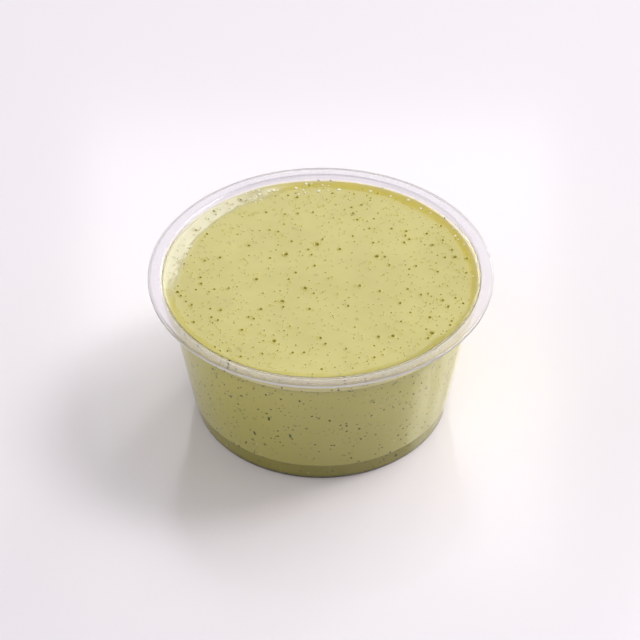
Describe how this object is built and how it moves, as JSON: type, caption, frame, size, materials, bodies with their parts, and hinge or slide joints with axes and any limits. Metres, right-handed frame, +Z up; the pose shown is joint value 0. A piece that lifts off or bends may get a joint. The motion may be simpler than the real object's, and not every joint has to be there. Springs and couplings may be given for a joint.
{
  "type": "clear portion cup of green herb sauce",
  "caption": "Small round clear plastic cup, tapered with a flat rim and a low foot, filled almost to the brim with smooth pale green herb sauce.",
  "frame": {"origin": "middle of the face that the cup stands on", "axes": "+Z up out of the cup's mouth, the cup is round about Z; -Y faces the viewer of the picture"},
  "size_m": [0.0738, 0.0738, 0.0351],
  "materials": {
    "clear_plastic": "clear, glossy, thin formed sheet",
    "green_sauce": "wet satin cream with fine herb flecks and tiny bubble pits"
  },
  "bodies": {
    "root": {"cup": "clear_plastic", "sauce": "green_sauce"}
  },
  "joints": []
}
